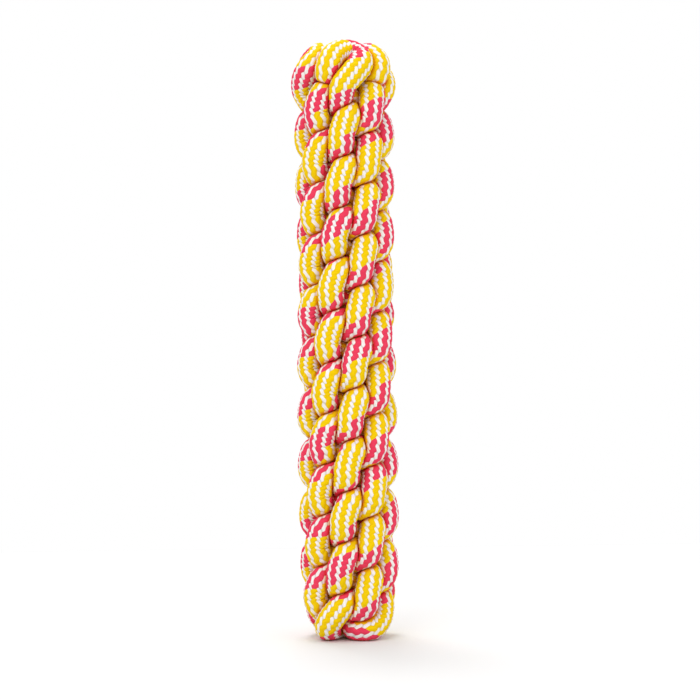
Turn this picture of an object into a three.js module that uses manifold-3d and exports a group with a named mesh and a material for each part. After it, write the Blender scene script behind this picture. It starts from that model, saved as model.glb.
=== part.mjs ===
// A stick-shaped rope dog toy: two braided cotton ropes, doubled at the foot, whose four
// strands are knotted over one another in layers and end in four loops round the knob.
// Millimetres, +Z up, standing on the foot with the axis of the stick on Z, front towards -Y.
import * as THREE from 'three';
import { mergeVertices } from 'three/addons/utils/BufferGeometryUtils.js';
import Module from 'manifold-3d';

// Driving dimensions
const ropeDiameter = 11;
const pressedGap = 0.9;
const layerCount = 22;
const ropeCount = 2;
const strandCount = 2 * ropeCount;
const layerTurn = 48.3;
const frontAngle = -19.5;
const sectionSides = 6;

// Heights that follow the rope, because the layers lie on one another
const layerSpacingShare = 0.971;
const lowestLayerShare = 0.885;
const restCutShare = 0.1;
const layerSpacing = layerSpacingShare * ropeDiameter;
const lowestLayerHeight = lowestLayerShare * ropeDiameter;

// What presses on a ring: how near a neighbour counts, how much of the rope's own length round
// the ring is left out, and how much room the inside of a bend leaves
const pointsPerStep = 6;
const neighbourReachShare = 1.3;
const ownStretchShare = 1.6;
const bendRoomShare = 0.8;

// The block that cuts the foot flat, and the rope's own length left out when gaps are measured
const floorSpanShare = 8;
const measuredStretchShare = 3.2;

// Routes, each row one ring of the rope, going down the strand: the turn round the stick in
// degrees from the middle of the bight, then the rise and the reach from the axis as shares of
// the rope's diameter. The foot has rows for each rope: one sweeps round the rim and crosses
// over the other, which curls under at once.
const bightShares = [
  [32, 0.64, 0.73],
  [21, 0.70, 0.92],
  [9, 0.50, 1.28],
  [2, 0.16, 1.39],
  [-2, -0.16, 1.42],
  [-3, -0.43, 1.35],
  [-9, -0.64, 1.13],
  [-26, -0.74, 0.78],
];
const loopShares = [
  [-12, 0.46, 0.34],
  [-22, 0.10, 0.70],
  [-28, 0.06, 1.08],
  [-30, 0.28, 1.34],
  [-26, 0.60, 1.38],
  [-21, 0.88, 1.22],
  [-8, 1.04, 0.98],
  [12, 1.04, 0.90],
  [26, 0.86, 1.08],
  [22, 0.56, 1.38],
  [9, 0.20, 1.50],
  [-4, -0.18, 1.49],
  [-9, -0.48, 1.36],
  [-14, -0.78, 1.14],
  [-30, -0.90, 0.80],
];
const footShares = [
  [
    [32, 0.64, 0.73],
    [21, 0.70, 0.92],
    [9, 0.52, 1.20],
    [0, 0.22, 1.26],
    [-10, -0.10, 1.26],
    [-23, -0.34, 1.20],
    [-38, -0.44, 1.10],
    [-54, -0.40, 0.86],
  ],
  [
    [32, 0.64, 0.73],
    [21, 0.70, 0.92],
    [9, 0.54, 1.22],
    [0, 0.30, 1.36],
    [-9, 0.04, 1.42],
    [-17, -0.22, 1.36],
    [-26, -0.42, 1.12],
    [-40, -0.48, 0.80],
  ],
];
const footCrossingShares = [
  [[-74, -0.10, 0.44], [0, 0.18, 0]],
  [[-66, -0.46, 0.42], [0, -0.42, 0]],
];

const cotton = { color: 0xf3c64a, roughness: 0.9, metalness: 0 };

const wasm = await Module();
wasm.setup();

// One row of a route as a point, turned and raised to its place on the stick.
function routePoint(row, turn, height) {
  const [angle, riseShare, reachShare] = row;
  const radians = THREE.MathUtils.degToRad(angle + turn);
  const reach = reachShare * ropeDiameter;
  return new THREE.Vector3(
    reach * Math.sin(radians),
    -reach * Math.cos(radians),
    height + riseShare * ropeDiameter,
  );
}

// The turn of one strand's bight in a layer, counted in steps down from the knob.
function bightTurn(strand, step) {
  const layer = layerCount - 1 - step;
  return frontAngle + layerTurn * layer + 360 / strandCount * (strand - step);
}

// The centre points of one strand, from its hidden end in the knob down to the foot. Each
// layer's bight crosses inside the stick and comes out a quarter turn on, one layer lower.
function strandPoints(strand) {
  const points = [];
  for (let step = 0; step < layerCount; step += 1) {
    const layer = layerCount - 1 - step;
    const turn = bightTurn(strand, step);
    const height = lowestLayerHeight + layerSpacing * layer;
    const upperRows = step === 0 ? loopShares : bightShares;
    const rows = layer === 0 ? footShares[strand % ropeCount] : upperRows;
    for (const row of rows) {
      points.push(routePoint(row, turn, height));
    }
  }
  return points;
}

// The centre points of a whole rope: down one strand, through the middle of the foot and up
// the strand across the stick.
function ropePoints(rope) {
  const [inner, middle] = footCrossingShares[rope];
  const ends = [rope, rope + ropeCount].map((strand) => {
    const turn = bightTurn(strand, layerCount - 1);
    return [...strandPoints(strand), routePoint(inner, turn, lowestLayerHeight)];
  });
  return [...ends[0], routePoint(middle, 0, lowestLayerHeight), ...ends[1].reverse()];
}

// Points along a rope, closer together than its rings, each with its distance along the rope.
function denseRoute(centres) {
  const route = [];
  let along = 0;
  for (let i = 0; i < centres.length - 1; i += 1) {
    const length = centres[i].distanceTo(centres[i + 1]);
    for (let k = 0; k < pointsPerStep; k += 1) {
      const share = k / pointsPerStep;
      route.push({ point: centres[i].clone().lerp(centres[i + 1], share), along: along + share * length });
    }
    along += length;
  }
  route.push({ point: centres[centres.length - 1].clone(), along });
  return route;
}

// What presses on a ring: the ways to every near centre point of the other rope, and of its
// own rope where that comes past again.
function neighbours(centre, along, rope, routes) {
  const reach = neighbourReachShare * ropeDiameter;
  const found = [];
  routes.forEach((route, other) => {
    for (const place of route) {
      const away = place.point.clone().sub(centre);
      const ownStretch = other === rope && Math.abs(place.along - along) < ownStretchShare * ropeDiameter;
      if (!ownStretch && away.length() < reach) {
        found.push(away);
      }
    }
  });
  return found;
}

// How far the section reaches one way: the rope's radius, or less where a neighbour presses
// halfway between the two centres, or where the inside of a bend bunches up.
function sectionReach(direction, pressing, bendCentre) {
  let reach = ropeDiameter / 2;
  for (const away of pressing) {
    const distance = away.length();
    const facing = direction.dot(away) / distance;
    if (facing > 0) {
      reach = Math.min(reach, (distance - pressedGap) / 2 / facing);
    }
  }
  const inward = bendCentre ? direction.dot(bendCentre) / bendCentre.length() : 0;
  if (inward > 0) {
    reach = Math.min(reach, bendRoomShare * bendCentre.length() / inward);
  }
  return reach;
}

// From a ring's centre to the centre of the bend through it and its two neighbours.
function bendCentreOf(before, centre, after) {
  const back = before.clone().sub(centre);
  const ahead = after.clone().sub(centre);
  const normal = back.clone().cross(ahead);
  const size = normal.lengthSq();
  if (size < Number.EPSILON) {
    return null;
  }
  const first = normal.clone().cross(back).multiplyScalar(ahead.lengthSq());
  const second = ahead.clone().cross(normal).multiplyScalar(back.lengthSq());
  return first.add(second).divideScalar(2 * size);
}

// The rings of a rope, each a list of points round its centre, carried along without twist.
function ropeRings(rope, centres, routes) {
  const rings = [];
  const sideways = new THREE.Vector3(0, 0, 1);
  let along = 0;
  centres.forEach((centre, i) => {
    const before = centres[Math.max(i - 1, 0)];
    const after = centres[Math.min(i + 1, centres.length - 1)];
    along += centre.distanceTo(before);
    const tangent = after.clone().sub(before).normalize();
    sideways.addScaledVector(tangent, -sideways.dot(tangent)).normalize();
    const across = tangent.clone().cross(sideways);
    const pressing = neighbours(centre, along, rope, routes);
    const bendCentre = bendCentreOf(before, centre, after);
    const ring = [];
    for (let side = 0; side < sectionSides; side += 1) {
      const angle = 2 * Math.PI * side / sectionSides;
      const direction = sideways.clone().multiplyScalar(Math.cos(angle));
      direction.addScaledVector(across, Math.sin(angle));
      ring.push(centre.clone().addScaledVector(direction, sectionReach(direction, pressing, bendCentre)));
    }
    rings.push(ring);
  });
  return rings;
}

// One closed tube through the rings, with a fan over each end.
function tubeGeometry(rings, centres) {
  const positions = rings.flat().flatMap((point) => point.toArray());
  const indices = [];
  const last = rings.length - 1;
  for (let i = 0; i < last; i += 1) {
    for (let side = 0; side < sectionSides; side += 1) {
      const next = (side + 1) % sectionSides;
      const a = i * sectionSides + side;
      const b = i * sectionSides + next;
      const c = a + sectionSides;
      const d = b + sectionSides;
      indices.push(a, b, d, a, d, c);
    }
  }
  const firstCentre = rings.length * sectionSides;
  positions.push(...centres[0].toArray(), ...centres[last].toArray());
  for (let side = 0; side < sectionSides; side += 1) {
    const next = (side + 1) % sectionSides;
    indices.push(firstCentre, next, side);
    indices.push(firstCentre + 1, last * sectionSides + side, last * sectionSides + next);
  }
  const geometry = new THREE.BufferGeometry();
  geometry.setAttribute('position', new THREE.Float32BufferAttribute(positions, 3));
  geometry.setIndex(indices);
  return geometry;
}

// A closed geometry as a manifold solid.
function asSolid(geometry) {
  const plain = geometry.clone();
  plain.deleteAttribute('normal');
  plain.deleteAttribute('uv');
  const merged = mergeVertices(plain);
  return new wasm.Manifold(new wasm.Mesh({
    numProp: 3,
    vertProperties: new Float32Array(merged.attributes.position.array),
    triVerts: new Uint32Array(merged.index.array),
  }));
}

// A manifold solid as a geometry.
function asGeometry(solid) {
  const mesh = solid.getMesh();
  const geometry = new THREE.BufferGeometry();
  geometry.setAttribute('position', new THREE.BufferAttribute(new Float32Array(mesh.vertProperties), 3));
  geometry.setIndex(new THREE.BufferAttribute(new Uint32Array(mesh.triVerts), 1));
  geometry.computeVertexNormals();
  return geometry;
}

// The block below the floor, which cuts the foot flat so that the toy stands.
function floorBlock() {
  const span = floorSpanShare * ropeDiameter;
  const block = new THREE.BoxGeometry(span, span, ropeDiameter);
  block.translate(0, 0, -ropeDiameter / 2);
  return block;
}

// The least gap between two sets of surface points. Points of one rope count only where
// they are more than a bend apart along it.
function leastGap(first, second) {
  const stretch = measuredStretchShare * ropeDiameter;
  let least = Infinity;
  for (const a of first) {
    for (const b of second) {
      if (first !== second || Math.abs(a.along - b.along) > stretch) {
        least = Math.min(least, a.point.distanceTo(b.point));
      }
    }
  }
  return least;
}

// Surface points of a rope for measuring: the corners of each ring and halfway to the next.
function surfacePoints(rings, centres) {
  const points = [];
  let along = 0;
  for (let i = 0; i < rings.length - 1; i += 1) {
    rings[i].forEach((corner, side) => {
      points.push({ point: corner, along });
      points.push({ point: corner.clone().lerp(rings[i + 1][side], 0.5), along });
    });
    along += centres[i].distanceTo(centres[i + 1]);
  }
  return points;
}

// The whole toy
const ropeCentres = Array.from({ length: ropeCount }, (_, rope) => ropePoints(rope));
const routes = ropeCentres.map(denseRoute);
const ropeSurfaces = ropeCentres.map((centres, rope) => ropeRings(rope, centres, routes));
const measured = ropeSurfaces.map((rings, rope) => surfacePoints(rings, ropeCentres[rope]));

// The toy is lowered by a tenth of the rope below the floor, and cut flat there.
const lowestPoint = Math.min(...ropeSurfaces.flat(2).map((point) => point.z));
const sinkDepth = lowestPoint + restCutShare * ropeDiameter;

const toy = new THREE.Group();
const ropeNames = ['first_rope', 'second_rope'];
ropeNames.forEach((name, rope) => {
  const tube = tubeGeometry(ropeSurfaces[rope], ropeCentres[rope]);
  tube.translate(0, 0, -sinkDepth);
  const cut = asSolid(tube).subtract(asSolid(floorBlock()));
  const mesh = new THREE.Mesh(asGeometry(cut), new THREE.MeshStandardMaterial(cotton));
  mesh.name = name;
  toy.add(mesh);
  const length = routes[rope][routes[rope].length - 1].along;
  const ownGap = leastGap(measured[rope], measured[rope]);
  console.log(`${name}: ${length.toFixed(0)} mm long, least gap to itself ${ownGap.toFixed(2)} mm`);
});
console.log(`least gap between the ropes ${leastGap(...measured).toFixed(2)} mm`);

export default toy;
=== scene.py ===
"""A stick-shaped rope dog toy: two braided cotton ropes, doubled and knotted in layers.

Metres, +Z up, front towards -Y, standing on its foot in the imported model's frame. Each
rope follows the route of its solid and is pressed flat where it meets its neighbours. Its
yarns stand proud of it as floats in a herringbone braid.
"""

import logging
import math
from dataclasses import dataclass
from enum import Enum

import bpy
import numpy as np
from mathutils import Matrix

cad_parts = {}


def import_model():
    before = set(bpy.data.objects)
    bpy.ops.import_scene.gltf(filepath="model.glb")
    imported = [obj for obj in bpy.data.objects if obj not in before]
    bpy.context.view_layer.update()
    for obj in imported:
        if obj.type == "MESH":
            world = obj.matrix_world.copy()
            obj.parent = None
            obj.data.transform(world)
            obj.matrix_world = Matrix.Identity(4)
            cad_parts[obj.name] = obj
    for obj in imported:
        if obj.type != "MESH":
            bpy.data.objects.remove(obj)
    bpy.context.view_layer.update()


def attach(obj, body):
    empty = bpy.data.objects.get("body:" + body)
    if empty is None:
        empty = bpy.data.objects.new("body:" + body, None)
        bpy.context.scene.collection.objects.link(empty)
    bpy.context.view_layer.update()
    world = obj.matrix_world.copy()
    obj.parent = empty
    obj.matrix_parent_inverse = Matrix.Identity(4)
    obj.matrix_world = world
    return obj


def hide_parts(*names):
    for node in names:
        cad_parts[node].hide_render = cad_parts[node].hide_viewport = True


LOG = logging.getLogger("rope_toy")
MILLIMETRE = 0.001
BRAID_MAP = "braid"
# Name of the mesh attribute that weights the warm shade painted into the creases.
PAINTED_CREASE_SHADE = "crease"
# Rows of the braid at which the ropes start, so that its colours fall as in the photograph.
CUT_ROWS = {"first_rope": 5.5, "second_rope": 0.0}
# The turn in degrees, the rise and the reach of one point of a route, or its x, y and z.
Triple = tuple[float, float, float]


def linear(hex_colour: str) -> tuple[float, float, float, float]:
    """Turn an sRGB hex colour into linear values.

    Args:
        hex_colour: Six hex digits, such as "ffd800".

    Returns:
        Linear red, green, blue and a full alpha.
    """
    shares = [int(hex_colour[i:i + 2], 16) / 255 for i in (0, 2, 4)]
    values = [s / 12.92 if s <= 0.04045 else ((s + 0.055) / 1.055) ** 2.4 for s in shares]
    return values[0], values[1], values[2], 1.0


def add_node(
    tree: bpy.types.NodeTree, kind: str, links: dict[str | int, object], **settings: object
) -> bpy.types.Node:
    """Add a node with its settings, socket values and links.

    Args:
        tree: The node tree.
        kind: The node's type name.
        links: Input name or number to a value or to another node's output.
        settings: The node's own properties.

    Returns:
        The new node.
    """
    node = tree.nodes.new(kind)
    for name, value in settings.items():
        setattr(node, name, value)
    for socket, value in links.items():
        if isinstance(value, bpy.types.NodeSocket):
            tree.links.new(value, node.inputs[socket])
        else:
            node.inputs[socket].default_value = value
    return node


class Yarns(Enum):
    """The two families of yarns in the braid: how they lean, and where their floats lie."""

    COLOURED = (-0.5, 0.0, 0.0)
    WHITE = (0.5, 0.5, 0.5)

    @property
    def lean(self) -> float:
        """Rows that a yarn shifts over half the way to its family's next wale."""
        return self.value[0]

    @property
    def rows_per_wale(self) -> float:
        """Rows that a yarn shifts from one of its family's wales to the next."""
        return 2 * self.lean

    @property
    def wale_shift(self) -> float:
        """How far round the wales lie, as a share of a pair of wales."""
        return self.value[1]

    @property
    def row_shift(self) -> float:
        """How far along the rows lie, as a share of a row."""
        return self.value[2]


@dataclass(frozen=True)
class HerringboneBraid:
    """How the yarns lie: pairs of wales round the rope, and rows of floats along it.

    The whole braid is twisted a little. Of every colour_repeat rows of a coloured wale, those
    up to last_yellow_row are yellow and the rest are pink, and the bands of dye climb by one
    repeat in a turn round the rope.
    """

    wale_pairs: int = 8
    row_length: float = 2.044 * MILLIMETRE
    turns_per_row: float = -0.0093
    dive: float = 2.2
    coloured_lead: float = 0.65
    colour_repeat: int = 11
    last_yellow_row: float = 6.5
    float_depth: float = 0.45 * MILLIMETRE

    @property
    def dye_rows_per_wale(self) -> float:
        """Rows that the dye shifts from one coloured wale to the next."""
        return -self.colour_repeat / self.wale_pairs

    def heights(self, around: np.ndarray, along: np.ndarray) -> np.ndarray:
        """Height of the yarns on the rope, from 0 deep between floats to 1 on top of one.

        Args:
            around: Place round the rope, from 0 to 1.
            along: Place along the rope, in rows.

        Returns:
            One height for each pair of places.
        """
        tops = []
        for family in Yarns:
            wale = around * self.wale_pairs + family.wale_shift
            off_middle = (wale - np.round(wale)) * 2
            row = along + family.lean * off_middle + family.row_shift
            lead = self.coloured_lead if family is Yarns.COLOURED else 0.0
            tops.append(np.cos(math.pi * (row - np.round(row))) - self.dive * off_middle**2 + lead)
        return np.clip(np.maximum(*tops), 0.0, 1.0)


@dataclass(frozen=True)
class BraidedCotton:
    """Dyed cotton yarn, loosely spun and braided: matt, with shade painted between floats.

    Light scatters among the loose fibres, so hardly any of the usual gloss is left. In the
    creases between ropes a warm shade is painted in: painted shadow, and painted light that
    stands for light bounced off the other yellow and pink yarns.
    Real fibres are much finer than six to a yarn, and are drawn that coarse to show.
    """

    yellow: str = "e8c200"
    pink: str = "e13c59"
    white: str = "ebe7e4"
    # Painted shade, multiplied into the yarns where they dip between floats.
    shade: str = "80664a"
    # Painted shade and painted warm bounce light, multiplied in where a rope lies in a crease.
    crease: str = "fab678"
    roughness: float = 0.85
    specular: float = 0.12
    shaded_height: float = 0.6
    deepest_shade: float = 0.32
    bump_height: float = 0.25 * MILLIMETRE
    bump_strength: float = 0.8
    fibres_across: float = 6.0
    fibres_along: float = 0.7
    fibre_detail: float = 3.0
    fibre_relief: float = 0.35
    fibre_noise: tuple[float, float] = (0.3, 0.7)
    fibre_values: tuple[float, float] = (0.9, 1.06)

    def material(self, braid: HerringboneBraid) -> bpy.types.Material:
        """Make the braid's material, which reads the rope's own map.

        Args:
            braid: How the yarns lie.

        Returns:
            The material.
        """
        material = bpy.data.materials.new("braided_cotton")
        material.use_nodes = True
        tree = material.node_tree
        tree.nodes.clear()
        place = add_node(tree, "ShaderNodeUVMap", {}, uv_map=BRAID_MAP)
        split = add_node(tree, "ShaderNodeSeparateXYZ", {0: place.outputs[0]})
        coloured, white = (self._family(tree, split, braid, family) for family in Yarns)
        heights = {0: coloured["height"], 1: white["height"]}
        on_coloured = add_node(
            tree, "ShaderNodeMath", heights, operation="GREATER_THAN"
        ).outputs[0]
        height = add_node(tree, "ShaderNodeMath", heights, operation="MAXIMUM").outputs[0]
        fibre_place = add_node(
            tree,
            "ShaderNodeMix",
            {0: on_coloured, 4: white["fibre"], 5: coloured["fibre"]},
            data_type="VECTOR",
        ).outputs[1]
        fibres = add_node(
            tree,
            "ShaderNodeTexNoise",
            {"Vector": fibre_place, "Scale": 1.0, "Detail": self.fibre_detail},
        ).outputs[0]
        dyed = self._dye(tree, coloured, braid)
        colour = self._colour(tree, dyed, on_coloured, height, fibres)
        relief = add_node(
            tree,
            "ShaderNodeMath",
            {0: fibres, 1: self.fibre_relief, 2: height},
            operation="MULTIPLY_ADD",
        ).outputs[0]
        bump = add_node(
            tree,
            "ShaderNodeBump",
            {"Strength": self.bump_strength, "Distance": self.bump_height, "Height": relief},
        )
        shader = add_node(
            tree,
            "ShaderNodeBsdfPrincipled",
            {
                "Base Color": colour,
                "Roughness": self.roughness,
                "Specular IOR Level": self.specular,
                "Normal": bump.outputs[0],
            },
        )
        add_node(tree, "ShaderNodeOutputMaterial", {0: shader.outputs[0]})
        return material

    def _family(
        self,
        tree: bpy.types.NodeTree,
        split: bpy.types.Node,
        braid: HerringboneBraid,
        family: Yarns,
    ) -> dict[str, bpy.types.NodeSocket]:
        """Add the nodes that find one family's nearest yarn.

        Args:
            tree: The material's node tree.
            split: The node that gives the place round and along the rope.
            braid: How the yarns lie.
            family: The family of yarns.

        Returns:
            Its height, its wale's and its row's number, and the place on its fibres.
        """
        wale = add_node(
            tree,
            "ShaderNodeMath",
            {0: split.outputs[0], 1: float(braid.wale_pairs), 2: family.wale_shift},
            operation="MULTIPLY_ADD",
        ).outputs[0]
        wale_number = add_node(tree, "ShaderNodeMath", {0: wale}, operation="ROUND").outputs[0]
        half_off = add_node(
            tree, "ShaderNodeMath", {0: wale, 1: wale_number}, operation="SUBTRACT"
        ).outputs[0]
        off_middle = add_node(
            tree, "ShaderNodeMath", {0: half_off, 1: 2.0}, operation="MULTIPLY"
        ).outputs[0]
        rows = add_node(
            tree, "ShaderNodeMath", {0: split.outputs[1], 1: family.row_shift}, operation="ADD"
        ).outputs[0]
        row = add_node(
            tree,
            "ShaderNodeMath",
            {0: off_middle, 1: family.lean, 2: rows},
            operation="MULTIPLY_ADD",
        ).outputs[0]
        row_number = add_node(tree, "ShaderNodeMath", {0: row}, operation="ROUND").outputs[0]
        off_row = add_node(
            tree, "ShaderNodeMath", {0: row, 1: row_number}, operation="SUBTRACT"
        ).outputs[0]
        turn = add_node(
            tree, "ShaderNodeMath", {0: off_row, 1: math.pi}, operation="MULTIPLY"
        ).outputs[0]
        bulge = add_node(tree, "ShaderNodeMath", {0: turn}, operation="COSINE").outputs[0]
        dive = add_node(
            tree, "ShaderNodeMath", {0: off_middle, 1: off_middle}, operation="MULTIPLY"
        ).outputs[0]
        height = add_node(
            tree, "ShaderNodeMath", {0: dive, 1: -braid.dive, 2: bulge}, operation="MULTIPLY_ADD"
        ).outputs[0]
        if family is Yarns.COLOURED:
            height = add_node(
                tree, "ShaderNodeMath", {0: height, 1: braid.coloured_lead}, operation="ADD"
            ).outputs[0]
        yarn = add_node(
            tree,
            "ShaderNodeMath",
            {0: wale_number, 1: family.rows_per_wale, 2: row_number},
            operation="MULTIPLY_ADD",
        ).outputs[0]
        across = add_node(
            tree,
            "ShaderNodeMath",
            {0: off_row, 1: self.fibres_across, 2: yarn},
            operation="MULTIPLY_ADD",
        ).outputs[0]
        length = add_node(
            tree,
            "ShaderNodeMath",
            {0: off_middle, 1: self.fibres_along, 2: rows},
            operation="MULTIPLY_ADD",
        ).outputs[0]
        fibre = add_node(
            tree, "ShaderNodeCombineXYZ", {0: across, 1: length, 2: wale_number}
        ).outputs[0]
        return {"height": height, "wale": wale_number, "row": row_number, "fibre": fibre}

    def _dye(
        self,
        tree: bpy.types.NodeTree,
        coloured: dict[str, bpy.types.NodeSocket],
        braid: HerringboneBraid,
    ) -> bpy.types.NodeSocket:
        """Add the nodes that dye the coloured yarns yellow and pink.

        Args:
            tree: The material's node tree.
            coloured: What _family gave for the coloured yarns.
            braid: How the yarns lie.

        Returns:
            The colour of the nearest coloured yarn.
        """
        dye_row = add_node(
            tree,
            "ShaderNodeMath",
            {0: coloured["wale"], 1: braid.dye_rows_per_wale, 2: coloured["row"]},
            operation="MULTIPLY_ADD",
        ).outputs[0]
        row_in_repeat = add_node(
            tree,
            "ShaderNodeMath",
            {0: dye_row, 1: float(braid.colour_repeat)},
            operation="FLOORED_MODULO",
        ).outputs[0]
        is_pink = add_node(
            tree,
            "ShaderNodeMath",
            {0: row_in_repeat, 1: braid.last_yellow_row},
            operation="GREATER_THAN",
        ).outputs[0]
        return add_node(
            tree,
            "ShaderNodeMix",
            {0: is_pink, 6: linear(self.yellow), 7: linear(self.pink)},
            data_type="RGBA",
        ).outputs[2]

    def _colour(
        self,
        tree: bpy.types.NodeTree,
        dyed: bpy.types.NodeSocket,
        on_coloured: bpy.types.NodeSocket,
        height: bpy.types.NodeSocket,
        fibres: bpy.types.NodeSocket,
    ) -> bpy.types.NodeSocket:
        """Add the nodes that colour the yarns, painting shade between floats and warm shade in the
        creases.

        Args:
            tree: The material's node tree.
            dyed: The colour of the coloured yarns.
            on_coloured: 1 where a coloured yarn is on top.
            height: The height of the yarn on top.
            fibres: The fibres' noise.

        Returns:
            The colour.
        """
        yarns = add_node(
            tree,
            "ShaderNodeMix",
            {0: on_coloured, 6: linear(self.white), 7: dyed},
            data_type="RGBA",
        ).outputs[2]
        # Painted shade: the yarns' colour darkens towards the deep gaps between floats.
        depth = add_node(
            tree,
            "ShaderNodeMapRange",
            {0: height, 1: 0.0, 2: self.shaded_height, 3: self.deepest_shade, 4: 0.0},
            interpolation_type="SMOOTHSTEP",
        ).outputs[0]
        shaded = add_node(
            tree,
            "ShaderNodeMix",
            {0: depth, 6: yarns, 7: linear(self.shade)},
            data_type="RGBA",
            blend_type="MULTIPLY",
        ).outputs[2]
        # Painted shade and painted warm bounce light where the rope lies in a crease against its
        # neighbour.
        crease = add_node(tree, "ShaderNodeAttribute", {}, attribute_name=PAINTED_CREASE_SHADE).outputs[2]
        crease_shaded = add_node(
            tree,
            "ShaderNodeMix",
            {0: crease, 6: shaded, 7: linear(self.crease)},
            data_type="RGBA",
            blend_type="MULTIPLY",
        ).outputs[2]
        streak = add_node(
            tree,
            "ShaderNodeMapRange",
            {0: fibres, **dict(enumerate(self.fibre_noise + self.fibre_values, start=1))},
        ).outputs[0]
        return add_node(
            tree, "ShaderNodeHueSaturation", {"Value": streak, "Color": crease_shaded}
        ).outputs[0]


@dataclass(frozen=True)
class KnottedStick:
    """The knot: layers of bights up a stick, four hairpin loops on top and a crossed foot.

    A row of a route is the turn from the middle of the bight in degrees, then the rise and
    the reach from the axis as shares of the rope's diameter, going down the strand. The foot
    has rows for each rope.
    """

    rope_diameter: float = 11 * MILLIMETRE
    layer_count: int = 22
    rope_count: int = 2
    layer_turn: float = 48.3
    front_angle: float = -19.5
    layer_spacing_share: float = 0.971
    lowest_layer_share: float = 0.885
    sink_share: float = 0.0191
    line_steps: int = 24
    bight_shares: tuple[Triple, ...] = (
        (32, 0.64, 0.73), (21, 0.70, 0.92), (9, 0.50, 1.28), (2, 0.16, 1.39),
        (-2, -0.16, 1.42), (-3, -0.43, 1.35), (-9, -0.64, 1.13), (-26, -0.74, 0.78),
    )
    loop_shares: tuple[Triple, ...] = (
        (-12, 0.46, 0.34), (-22, 0.10, 0.70), (-28, 0.06, 1.08), (-30, 0.28, 1.34),
        (-26, 0.60, 1.38), (-21, 0.88, 1.22), (-8, 1.04, 0.98), (12, 1.04, 0.90),
        (26, 0.86, 1.08), (22, 0.56, 1.38), (9, 0.20, 1.50), (-4, -0.18, 1.49),
        (-9, -0.48, 1.36), (-14, -0.78, 1.14), (-30, -0.90, 0.80),
    )
    foot_shares: tuple[tuple[Triple, ...], ...] = (
        (
            (32, 0.64, 0.73), (21, 0.70, 0.92), (9, 0.52, 1.20), (0, 0.22, 1.26),
            (-10, -0.10, 1.26), (-23, -0.34, 1.20), (-38, -0.44, 1.10), (-54, -0.40, 0.86),
        ),
        (
            (32, 0.64, 0.73), (21, 0.70, 0.92), (9, 0.54, 1.22), (0, 0.30, 1.36),
            (-9, 0.04, 1.42), (-17, -0.22, 1.36), (-26, -0.42, 1.12), (-40, -0.48, 0.80),
        ),
    )
    foot_crossing_shares: tuple[tuple[Triple, Triple], ...] = (
        ((-74, -0.10, 0.44), (0, 0.18, 0)),
        ((-66, -0.46, 0.42), (0, -0.42, 0)),
    )

    def route_point(self, row: Triple, turn: float, layer: int) -> Triple:
        """Place one row of a route on the stick.

        Args:
            row: Its turn, rise and reach.
            turn: The turn of its bight, in degrees.
            layer: Its layer, counted from the foot.

        Returns:
            The point.
        """
        angle, rise_share, reach_share = row
        radians = math.radians(angle + turn)
        reach = reach_share * self.rope_diameter
        level = self.lowest_layer_share + self.layer_spacing_share * layer - self.sink_share
        height = (level + rise_share) * self.rope_diameter
        return reach * math.sin(radians), -reach * math.cos(radians), height

    def bight_turn(self, strand: int, layer: int) -> float:
        """The turn of one strand's bight in a layer, in degrees."""
        step = self.layer_count - 1 - layer
        strand_turn = 360 / (2 * self.rope_count)
        return self.front_angle + self.layer_turn * layer + strand_turn * (strand - step)

    def strand_points(self, strand: int) -> list[Triple]:
        """The route of one strand, from its hidden end in the knob down to the foot."""
        points = []
        for layer in reversed(range(self.layer_count)):
            rows = self.bight_shares
            if layer == self.layer_count - 1:
                rows = self.loop_shares
            if layer == 0:
                rows = self.foot_shares[strand % self.rope_count]
            turn = self.bight_turn(strand, layer)
            points += [self.route_point(row, turn, layer) for row in rows]
        return points

    def rope_points(self, rope: int) -> np.ndarray:
        """The route of a whole rope: down one strand, across the foot and up the other.

        Args:
            rope: The rope's number.

        Returns:
            One row of x, y and z for each point.
        """
        inner, middle = self.foot_crossing_shares[rope]
        down, up = [
            self.strand_points(strand) + [self.route_point(inner, self.bight_turn(strand, 0), 0)]
            for strand in (rope, rope + self.rope_count)
        ]
        return np.array([*down, self.route_point(middle, 0, 0), *reversed(up)])


@dataclass(frozen=True)
class CentreLine:
    """Points close together on a rope's centre line, with their distance along it."""

    points: np.ndarray
    along: np.ndarray

    @classmethod
    def through(cls, route: np.ndarray, steps: int) -> "CentreLine":
        """Lay a smooth line, a Catmull-Rom spline, through the points of a route.

        Args:
            route: The points.
            steps: Points on the line for each point of the route.

        Returns:
            The line.
        """
        ends = np.vstack([2 * route[0] - route[1], route, 2 * route[-1] - route[-2]])
        share = np.linspace(0, 1, steps, endpoint=False)[None, :, None]
        before, start, end, after = (ends[i:len(ends) - 3 + i, None] for i in range(4))
        line = 0.5 * (
            2 * start
            + (end - before) * share
            + (2 * before - 5 * start + 4 * end - after) * share**2
            + (3 * start - before - 3 * end + after) * share**3
        )
        points = np.vstack([line.reshape(-1, 3), route[-1]])
        lengths = np.linalg.norm(np.diff(points, axis=0), axis=1)
        return cls(points, np.concatenate([[0.0], np.cumsum(lengths)]))

    def at(self, places: np.ndarray) -> np.ndarray:
        """The points at these distances along the line."""
        columns = [np.interp(places, self.along, column) for column in self.points.T]
        return np.stack(columns, axis=1)


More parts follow.
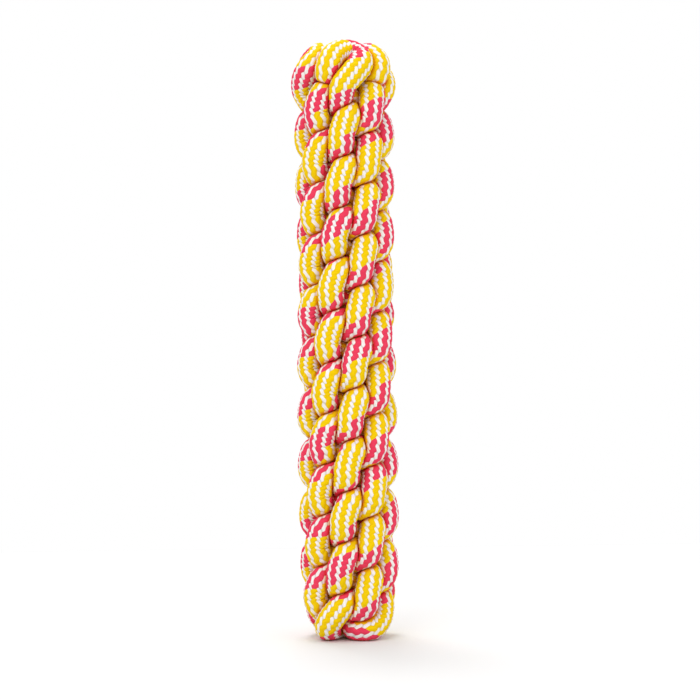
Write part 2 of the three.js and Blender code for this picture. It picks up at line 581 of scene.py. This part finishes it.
@dataclass(frozen=True)
class BraidedRope:
    """One rope of the toy, from its centre line to its mesh."""

    name: str
    line: CentreLine
    lines: tuple[CentreLine, ...]
    stick: KnottedStick
    braid: HerringboneBraid
    cut_row: float
    full_share: float = 0.515
    sides_per_pair: int = 6
    rings_per_row: int = 4
    hidden_ring_step: int = 6
    shown_reach_share: float = 1.1
    shown_knob_share: float = 0.6
    shown_foot_share: float = 0.75
    neighbour_reach_share: float = 1.3
    own_stretch_share: float = 1.6
    bend_room_share: float = 0.85
    least_bend: float = 1e-12
    least_distance: float = 1e-9
    least_facing: float = 1e-3
    touch_gap: float = 0.02 * MILLIMETRE
    shoulder: float = 1.5 * MILLIMETRE
    press_step: float = 0.7 * MILLIMETRE
    crease_width: float = 2.0 * MILLIMETRE
    end_rings: int = 8
    end_bulge_share: float = 0.3
    end_crease: float = 0.4

    def stations(self) -> np.ndarray:
        """Where the rings stand: close together where the rope shows, wider apart inside.

        Returns:
            Distances along the rope.
        """
        length = self.line.along[-1]
        fine = self.braid.row_length / self.rings_per_row
        places = np.arange(0, int(length / fine)) * fine
        stick = self.stick
        points = self.line.at(places)
        reach = np.hypot(points[:, 0], points[:, 1]) / stick.rope_diameter
        levels = points[:, 2] / stick.rope_diameter
        top = stick.lowest_layer_share + stick.layer_spacing_share * stick.layer_count
        shown = reach > self.shown_reach_share
        shown |= (levels > top - self.shown_knob_share) | (levels < self.shown_foot_share)
        keep = shown | (np.arange(len(places)) % self.hidden_ring_step == 0)
        return np.append(places[keep], length)

    def frames(self, centres: np.ndarray) -> tuple[np.ndarray, np.ndarray]:
        """Carry a pair of sideways directions along the rope without twist.

        Args:
            centres: The rings' centres.

        Returns:
            The two directions for each ring.
        """
        tangents = np.gradient(centres, axis=0)
        tangents /= np.linalg.norm(tangents, axis=1, keepdims=True)
        sideways = np.empty_like(centres)
        direction = np.array([0.0, 0.0, 1.0])
        for i, tangent in enumerate(tangents):
            direction = direction - tangent * (direction @ tangent)
            direction /= np.linalg.norm(direction)
            sideways[i] = direction
        return sideways, np.cross(tangents, sideways)

    def bend_centres(self, places: np.ndarray, centres: np.ndarray) -> np.ndarray:
        """The way from each ring's centre to the centre of the rope's bend there.

        Args:
            places: Distances along the rope.
            centres: The rings' centres.

        Returns:
            One vector for each ring, very long where the rope is straight.
        """
        step = self.press_step
        length = self.line.along[-1]
        back = self.line.at(np.clip(places - step, 0, length)) - centres
        ahead = self.line.at(np.clip(places + step, 0, length)) - centres
        inward = back + ahead
        size = np.linalg.norm(inward, axis=1, keepdims=True) + self.least_bend
        return inward / size * (step**2 / size)

    def reaches(
        self, places: np.ndarray, centres: np.ndarray, directions: np.ndarray
    ) -> tuple[np.ndarray, np.ndarray]:
        """How far the rope's surface lies from its centre, pressed by what it touches.

        Args:
            places: Distances along the rope.
            centres: The rings' centres.
            directions: For each ring, one direction for each side.

        Returns:
            One reach for each ring and side, and how deep in a crease it lies, from 0 to 1.
        """
        reach = np.full(directions.shape[:2], self.full_share * self.stick.rope_diameter)
        pressed = np.empty_like(reach)
        bends = self.bend_centres(places, centres)
        stops = [line.at(np.arange(0, line.along[-1], self.press_step)) for line in self.lines]
        for i, centre in enumerate(centres):
            # What presses stands twice as far off as the surface that it leaves the rope.
            bend = bends[i:i + 1] * 2 * self.bend_room_share
            neighbours = [
                self._neighbours(centre, places[i], line, points)
                for line, points in zip(self.lines, stops)
            ]
            pressing = np.vstack([bend, self._floor_below(centre), *neighbours])
            distance = np.linalg.norm(pressing, axis=1) + self.least_distance
            facing = directions[i] @ (pressing / distance[:, None]).T
            limits = (distance - self.touch_gap) / 2 / np.maximum(facing, self.least_facing)
            pressed[i] = limits.min(axis=1)
        # A smooth minimum rounds the edges of the pressed faces over the shoulder's width.
        shoulder = np.maximum(self.shoulder - np.abs(reach - pressed), 0.0) / self.shoulder
        # This crease share weights the warm shade painted into the creases, and flattens the
        # floats there.
        crease = 1 - np.clip((pressed - reach) / self.crease_width, 0.0, 1.0)
        return np.minimum(reach, pressed) - shoulder**2 * self.shoulder / 4, crease**2

    def _floor_below(self, centre: np.ndarray) -> np.ndarray:
        """The way to a ring's mirror image below the floor, which presses as a neighbour does."""
        return np.array([[0.0, 0.0, -2 * centre[2]]])

    def _neighbours(
        self, centre: np.ndarray, place: float, line: CentreLine, points: np.ndarray
    ) -> np.ndarray:
        """The ways from a ring's centre to the near points of a rope that press on it.

        Args:
            centre: The ring's centre.
            place: Its distance along its own rope.
            line: The pressing rope's centre line, which may be its own.
            points: Points on that line, a press step apart.

        Returns:
            One vector for each point.
        """
        diameter = self.stick.rope_diameter
        ways = points - centre
        near = (ways**2).sum(axis=1) < (self.neighbour_reach_share * diameter) ** 2
        if line is self.line:
            apart = np.abs(np.arange(len(points)) * self.press_step - place)
            near &= apart > self.own_stretch_share * diameter
        return ways[near]

    def mesh(self) -> bpy.types.Mesh:
        """Make the rope's closed mesh, its yarns standing proud, with its braid's map.

        Returns:
            The mesh.
        """
        places = self.stations()
        centres = self.line.at(places)
        sideways, across = self.frames(centres)
        sides = self.sides_per_pair * self.braid.wale_pairs
        rows = places / self.braid.row_length + self.cut_row
        around = np.arange(sides) / sides
        turns = around[None, :, None] + self.braid.turns_per_row * rows[:, None, None]
        angles = turns * 2 * math.pi
        directions = sideways[:, None] * np.cos(angles) + across[:, None] * np.sin(angles)
        yarns = self.braid.heights(around[None, :], rows[:, None])
        reach, crease = self.reaches(places, centres, directions)
        reach = reach - self.braid.float_depth * (1 - yarns) * (1 - crease)
        points = centres[:, None] + directions * reach[..., None]
        rows, points, crease = self._draw_ends_in(rows, points, centres, crease)
        ring = np.arange(sides)
        after = np.roll(ring, -1)
        first_faces = np.stack([ring, after, after + sides, ring + sides], axis=1)
        starts = np.arange(len(rows) - 1)[:, None, None] * sides
        faces = (first_faces[None] + starts).reshape(-1, 4)
        last = (len(rows) - 1) * sides
        caps = [list(reversed(range(sides))), list(range(last, last + sides))]
        mesh = bpy.data.meshes.new(self.name)
        mesh.from_pydata(points.reshape(-1, 3).tolist(), [], faces.tolist() + caps)
        mesh.shade_smooth()
        # The crease share goes to the material, which paints shade and warm bounce light there.
        mesh.attributes.new(PAINTED_CREASE_SHADE, "FLOAT", "POINT").data.foreach_set("value", crease.ravel())
        self._add_map(mesh, rows, sides)
        return mesh

    def _draw_ends_in(
        self, rows: np.ndarray, points: np.ndarray, centres: np.ndarray, crease: np.ndarray
    ) -> tuple[np.ndarray, np.ndarray, np.ndarray]:
        """Add rings that close both ends of the rope, where its yarns are drawn in.

        Args:
            rows: The rings' places in rows.
            points: The rings' points.
            centres: The rings' centres.
            crease: How deep each point lies in a crease.

        Returns:
            The places, points and creases with the ends' rings added.
        """
        for end, inner in ((0, 1), (-1, -2)):
            outward = centres[end] - centres[inner]
            outward /= np.linalg.norm(outward)
            spokes = points[end] - centres[end]
            size = np.linalg.norm(spokes, axis=1).mean()
            turns = np.linspace(0, math.pi / 2, self.end_rings + 1)[1:-1]
            rise = self.end_bulge_share * size
            inward, onward = np.cos(turns), np.sin(turns)
            rings = np.stack(
                [
                    centres[end] + spokes * spoke_share + outward * rise * rise_share
                    for spoke_share, rise_share in zip(inward, onward)
                ]
            )
            beyond = size * (1 - inward) / self.braid.row_length
            # The drawn-in ends get a fixed crease share, so painted crease shade covers them too.
            creases = np.full(rings.shape[:2], self.end_crease)
            if end == 0:
                rows = np.concatenate([rows[0] - beyond[::-1], rows])
                points = np.concatenate([rings[::-1], points])
                crease = np.concatenate([creases, crease])
            else:
                rows = np.concatenate([rows, rows[-1] + beyond])
                points = np.concatenate([points, rings])
                crease = np.concatenate([crease, creases])
        return rows, points, crease

    def _add_map(self, mesh: bpy.types.Mesh, rows: np.ndarray, sides: int) -> None:
        """Give the mesh its braid's map: across it the place round, up it the rows.

        Args:
            mesh: The rope's mesh.
            rows: The rings' places in rows.
            sides: Points round a ring.
        """
        side = np.arange(sides) / sides
        step = 1 / sides
        across = np.stack([side, side + step, side + step, side], axis=1)
        up = np.stack([rows[:-1], rows[:-1], rows[1:], rows[1:]], axis=1)
        shape = (len(rows) - 1, sides, 4)
        across = np.broadcast_to(across[None], shape)
        up = np.broadcast_to(up[:, None], shape)
        ends = np.repeat([[0.0, rows[0]], [0.0, rows[-1]]], sides, axis=0)
        places = np.vstack([np.stack([across, up], axis=-1).reshape(-1, 2), ends])
        braid_map = mesh.uv_layers.new(name=BRAID_MAP)
        braid_map.data.foreach_set("uv", places.astype(np.float32).ravel())

    def build(self, material: bpy.types.Material) -> bpy.types.Object:
        """Make the rope's object, dressed and riding on the toy in its solid's place.

        Args:
            material: The braid's material.

        Returns:
            The object.
        """
        mesh = self.mesh()
        mesh.materials.append(material)
        piece = bpy.data.objects.new(f"braided_{self.name}", mesh)
        bpy.context.collection.objects.link(piece)
        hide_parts(self.name)
        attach(piece, "root")
        length = self.line.along[-1] / MILLIMETRE
        LOG.info("%s: %.0f mm long, %d faces", self.name, length, len(mesh.polygons))
        return piece


@dataclass(frozen=True)
class MattPaper:
    """Seamless white paper: even, matt, with no grain that shows at this size."""

    white: str = "dfdfdf"
    roughness: float = 0.95

    def material(self) -> bpy.types.Material:
        """Make the paper's material."""
        material = bpy.data.materials.new("seamless_paper")
        material.use_nodes = True
        tree = material.node_tree
        tree.nodes.clear()
        shader = add_node(
            tree,
            "ShaderNodeBsdfPrincipled",
            {"Base Color": linear(self.white), "Roughness": self.roughness},
        )
        add_node(tree, "ShaderNodeOutputMaterial", {0: shader.outputs[0]})
        return material


@dataclass(frozen=True)
class SoftLight:
    """A soft square light: where it hangs, how long its sides are and its power in watts."""

    name: str
    place: Triple
    size: float
    power: float

    def hang(self, aim: bpy.types.Object) -> bpy.types.Object:
        """Hang the light so that it looks at something.

        Args:
            aim: What it looks at.

        Returns:
            The light.
        """
        bpy.ops.object.light_add(type="AREA", location=self.place)
        lamp = bpy.context.object
        lamp.name = self.name
        lamp.data.size = self.size
        lamp.data.energy = self.power
        way = aim.location - lamp.location
        lamp.rotation_euler = way.to_track_quat("-Z", "Y").to_euler()
        return lamp


@dataclass(frozen=True)
class Studio:
    """A pale floor, soft lights and a camera at the photograph's viewing angle.

    Half of the view is half_view_share of the distance wide.
    """

    floor_size: float = 0.7
    camera_distance: float = 0.804
    camera_height: float = 0.1215
    camera_shift: float = 0.0014
    camera_roll: float = 0.7
    half_view_share: float = 350 / 1900
    world_strength: float = 1.0
    sky: str = "ffffff"
    lights: tuple[SoftLight, ...] = (
        SoftLight("key_light", (-0.35, -0.9, 0.95), 0.7, 4),
        SoftLight("fill_light", (0.9, -0.9, 0.5), 0.8, 1),
        SoftLight("back_light", (-0.12, 0.4, 1.3), 0.4, 6),
    )

    def floor(self, paper: MattPaper) -> bpy.types.Object:
        """Lay the floor.

        Args:
            paper: Its finish.

        Returns:
            The floor.
        """
        bpy.ops.object.select_all(action="DESELECT")
        bpy.ops.mesh.primitive_plane_add(size=self.floor_size)
        floor = bpy.context.object
        floor.name = "floor"
        floor.data.materials.append(paper.material())
        return floor

    def camera(self) -> bpy.types.Object:
        """Set up the camera, level with the middle of the toy."""
        bpy.ops.object.camera_add(
            location=(self.camera_shift, -self.camera_distance, self.camera_height),
            rotation=(math.pi / 2, math.radians(self.camera_roll), 0),
        )
        camera = bpy.context.object
        camera.data.lens = camera.data.sensor_width / 2 / self.half_view_share
        bpy.context.scene.camera = camera
        return camera

    def build(self) -> None:
        """Build the floor, the lights, the sky and the camera."""
        self.floor(MattPaper())
        bpy.ops.object.empty_add(location=(0, 0, self.camera_height))
        middle = bpy.context.object
        middle.name = "toy_middle"
        for light in self.lights:
            light.hang(middle)
        world = bpy.data.worlds.new("studio_air")
        world.use_nodes = True
        background = world.node_tree.nodes["Background"]
        background.inputs["Color"].default_value = linear(self.sky)
        background.inputs["Strength"].default_value = self.world_strength
        bpy.context.scene.world = world
        bpy.context.scene.view_settings.view_transform = "Standard"
        self.camera()


def main() -> None:
    """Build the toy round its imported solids, and the studio round the toy."""
    logging.basicConfig(level=logging.INFO, format="%(message)s")
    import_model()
    Studio().build()
    stick = KnottedStick()
    braid = HerringboneBraid()
    lines = tuple(
        CentreLine.through(stick.rope_points(rope), stick.line_steps)
        for rope in range(stick.rope_count)
    )
    cotton = BraidedCotton().material(braid)
    for (name, cut_row), line in zip(CUT_ROWS.items(), lines):
        BraidedRope(name, line, lines, stick, braid, cut_row).build(cotton)


if __name__ == "__main__":
    main()
